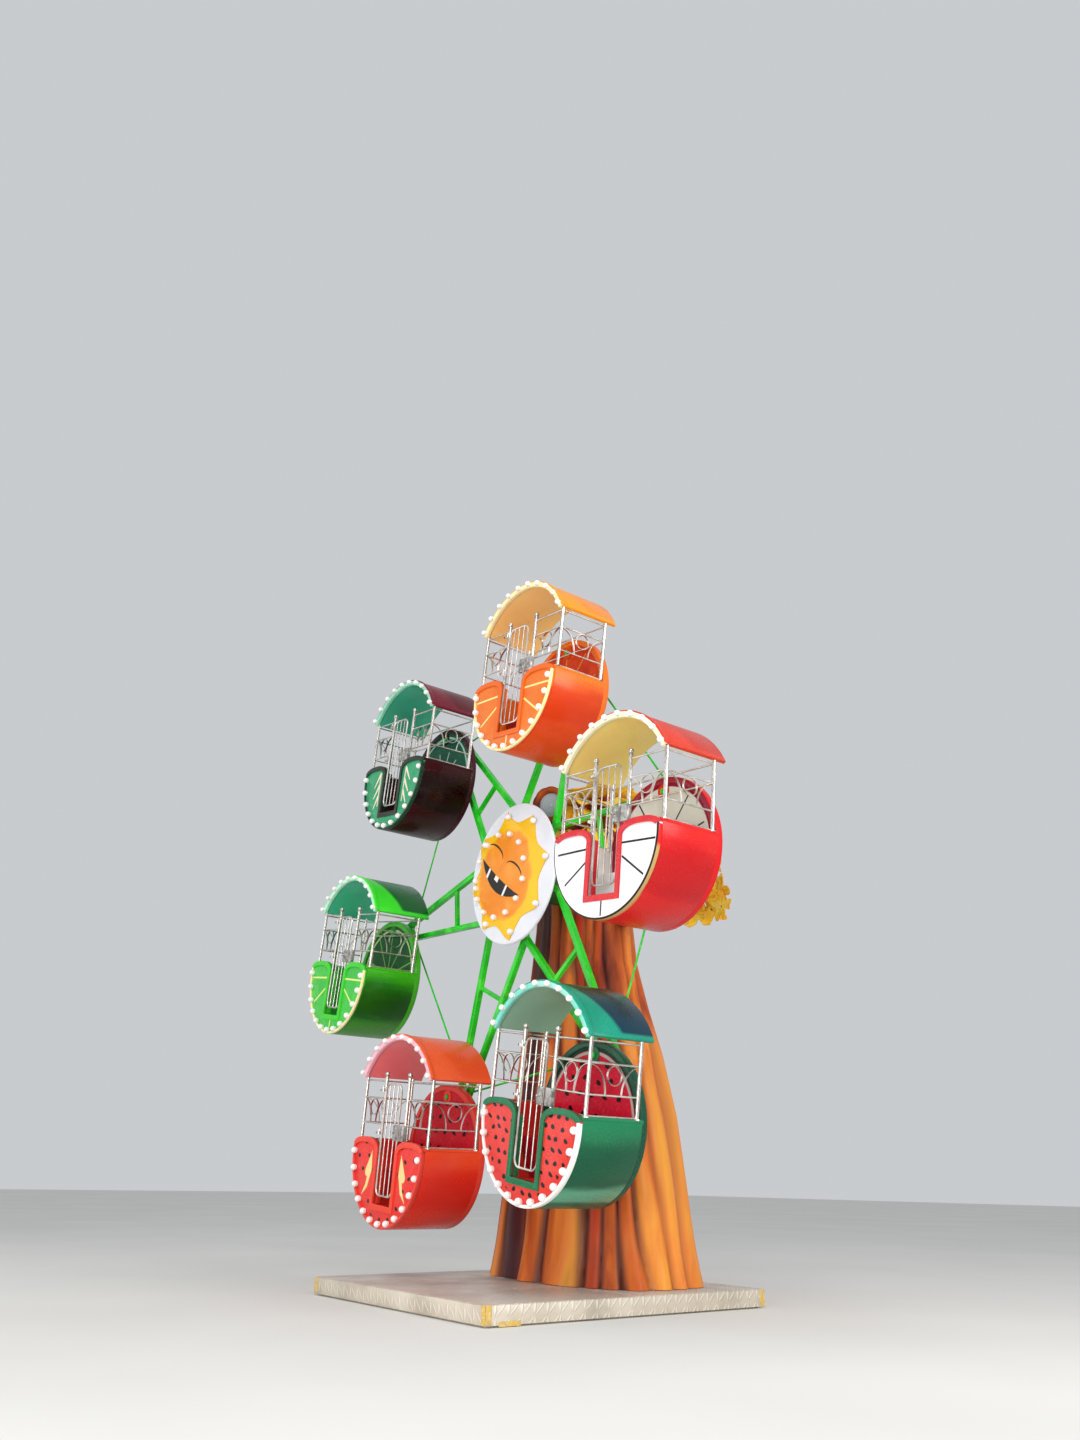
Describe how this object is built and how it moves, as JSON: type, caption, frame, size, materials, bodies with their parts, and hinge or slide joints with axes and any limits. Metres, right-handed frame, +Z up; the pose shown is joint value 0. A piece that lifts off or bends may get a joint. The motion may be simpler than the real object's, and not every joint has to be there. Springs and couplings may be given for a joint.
{
  "type": "fairground ferris wheel with fruit cabins",
  "caption": "Small single-sided ferris wheel: fruit-shaped cabins hang level from green tube arms in front of a sculpted tree trunk on a tread-plate platform.",
  "frame": {"origin": "on the floor, at the middle of the platform's underside", "axes": "+X to the right of someone facing the wheel, +Y from the wheel back to the trunk, +Z up"},
  "size_m": [6.9872, 3.4, 7.537],
  "materials": {
    "tread_plate": "tread plate, worn bright",
    "bark": "sculpted glass-fibre bark, airbrushed orange and brown",
    "leaf_yellow": "glass-fibre leaves, yellow with brown veins",
    "wheel_green": "gloss green enamel",
    "sun_paint": "painted disc, white border and orange sun",
    "stainless": "polished stainless tube",
    "orange_skin": "airbrushed red to orange",
    "orange_roof": "amber glass fibre",
    "orange_panel": "orange-red glass fibre",
    "apple_skin": "gloss red",
    "apple_roof": "gloss red",
    "apple_panel": "off-white with a dark red border",
    "melon_skin": "airbrushed greens",
    "melon_roof": "teal glass fibre",
    "melon_panel": "crimson with seeds and a green border",
    "strawberry_skin": "gloss red with seeds",
    "strawberry_roof": "orange-red glass fibre",
    "strawberry_panel": "crimson with seeds",
    "lime_skin": "airbrushed greens",
    "lime_roof": "dark green glass fibre",
    "lime_panel": "dark green",
    "plum_skin": "near-black maroon",
    "plum_roof": "maroon glass fibre",
    "plum_panel": "dark green with a pale arc"
  },
  "bodies": {
    "base": {"platform": "tread_plate", "trunk": "bark", "bearing_housing": "wheel_green", "limb_left": "bark", "limb_right": "bark", "crown_leaves": "leaf_yellow", "collar_leaves": "leaf_yellow", "side_leaves": "leaf_yellow"},
    "wheel": {"wheel_hub": "wheel_green", "arm_orange": "wheel_green", "arm_apple": "wheel_green", "arm_melon": "wheel_green", "arm_strawberry": "wheel_green", "arm_lime": "wheel_green", "arm_plum": "wheel_green", "tie_ring": "wheel_green", "sun_disc": "sun_paint"},
    "cabin_orange": {"orange_tub": "orange_skin", "orange_back": "orange_panel", "orange_frame": "stainless", "orange_canopy": "orange_roof"},
    "gate_orange": {"orange_gate": "stainless"},
    "cabin_apple": {"apple_tub": "apple_skin", "apple_back": "apple_panel", "apple_frame": "stainless", "apple_canopy": "apple_roof"},
    "gate_apple": {"apple_gate": "stainless"},
    "cabin_melon": {"melon_tub": "melon_skin", "melon_back": "melon_panel", "melon_frame": "stainless", "melon_canopy": "melon_roof"},
    "gate_melon": {"melon_gate": "stainless"},
    "cabin_strawberry": {"strawberry_tub": "strawberry_skin", "strawberry_back": "strawberry_panel", "strawberry_frame": "stainless", "strawberry_canopy": "strawberry_roof"},
    "gate_strawberry": {"strawberry_gate": "stainless"},
    "cabin_lime": {"lime_tub": "lime_skin", "lime_back": "lime_panel", "lime_frame": "stainless", "lime_canopy": "lime_roof"},
    "gate_lime": {"lime_gate": "stainless"},
    "cabin_plum": {"plum_tub": "plum_skin", "plum_back": "plum_panel", "plum_frame": "stainless", "plum_canopy": "plum_roof"},
    "gate_plum": {"plum_gate": "stainless"}
  },
  "joints": [
    {"name": "wheel_spin", "type": "hinge", "parent": "base", "child": "wheel", "pos_m": [0, -0.26, 4.44], "axis": [0, 1, 0], "continuous": true},
    {"name": "cabin_orange_level", "type": "hinge", "parent": "wheel", "child": "cabin_orange", "pos_m": [1.0945, -0.26, 6.8754], "axis": [0, 1, 0], "continuous": true},
    {"name": "gate_orange_swing", "type": "hinge", "parent": "cabin_orange", "child": "gate_orange", "pos_m": [0.8326, -1.21, 6.4696], "axis": [-0.1478, 0, -0.989], "range_deg": [0, 100]},
    {"name": "cabin_apple_level", "type": "hinge", "parent": "wheel", "child": "cabin_apple", "pos_m": [2.6563, -0.26, 4.7098], "axis": [0, 1, 0], "continuous": true},
    {"name": "gate_apple_swing", "type": "hinge", "parent": "cabin_apple", "child": "gate_apple", "pos_m": [2.4139, -1.21, 4.2922], "axis": [-0.1011, 0, -0.9949], "range_deg": [0, 100]},
    {"name": "cabin_melon_level", "type": "hinge", "parent": "wheel", "child": "cabin_melon", "pos_m": [1.5618, -0.26, 2.2745], "axis": [0, 1, 0], "continuous": true},
    {"name": "gate_melon_swing", "type": "hinge", "parent": "cabin_melon", "child": "gate_melon", "pos_m": [1.3021, -1.21, 1.8673], "axis": [-0.1426, 0, -0.9898], "range_deg": [0, 100]},
    {"name": "cabin_strawberry_level", "type": "hinge", "parent": "wheel", "child": "cabin_strawberry", "pos_m": [-1.0945, -0.26, 2.0046], "axis": [0, 1, 0], "continuous": true},
    {"name": "gate_strawberry_swing", "type": "hinge", "parent": "cabin_strawberry", "child": "gate_strawberry", "pos_m": [-1.3296, -1.21, 1.5828], "axis": [-0.0837, 0, -0.9965], "range_deg": [0, 100]},
    {"name": "cabin_lime_level", "type": "hinge", "parent": "wheel", "child": "cabin_lime", "pos_m": [-2.6563, -0.26, 4.1702], "axis": [0, 1, 0], "continuous": true},
    {"name": "gate_lime_swing", "type": "hinge", "parent": "cabin_lime", "child": "gate_lime", "pos_m": [-2.9217, -1.21, 3.7667], "axis": [-0.1564, 0, -0.9877], "range_deg": [0, 100]},
    {"name": "cabin_plum_level", "type": "hinge", "parent": "wheel", "child": "cabin_plum", "pos_m": [-1.5618, -0.26, 6.6055], "axis": [0, 1, 0], "continuous": true},
    {"name": "gate_plum_swing", "type": "hinge", "parent": "cabin_plum", "child": "gate_plum", "pos_m": [-1.823, -1.21, 6.1993], "axis": [-0.1461, 0, -0.9893], "range_deg": [0, 100]}
  ],
  "couplings": [
    {"joint": "cabin_orange_level", "follows": "wheel_spin", "ratio": -1},
    {"joint": "cabin_apple_level", "follows": "wheel_spin", "ratio": -1},
    {"joint": "cabin_melon_level", "follows": "wheel_spin", "ratio": -1},
    {"joint": "cabin_strawberry_level", "follows": "wheel_spin", "ratio": -1},
    {"joint": "cabin_lime_level", "follows": "wheel_spin", "ratio": -1},
    {"joint": "cabin_plum_level", "follows": "wheel_spin", "ratio": -1}
  ]
}
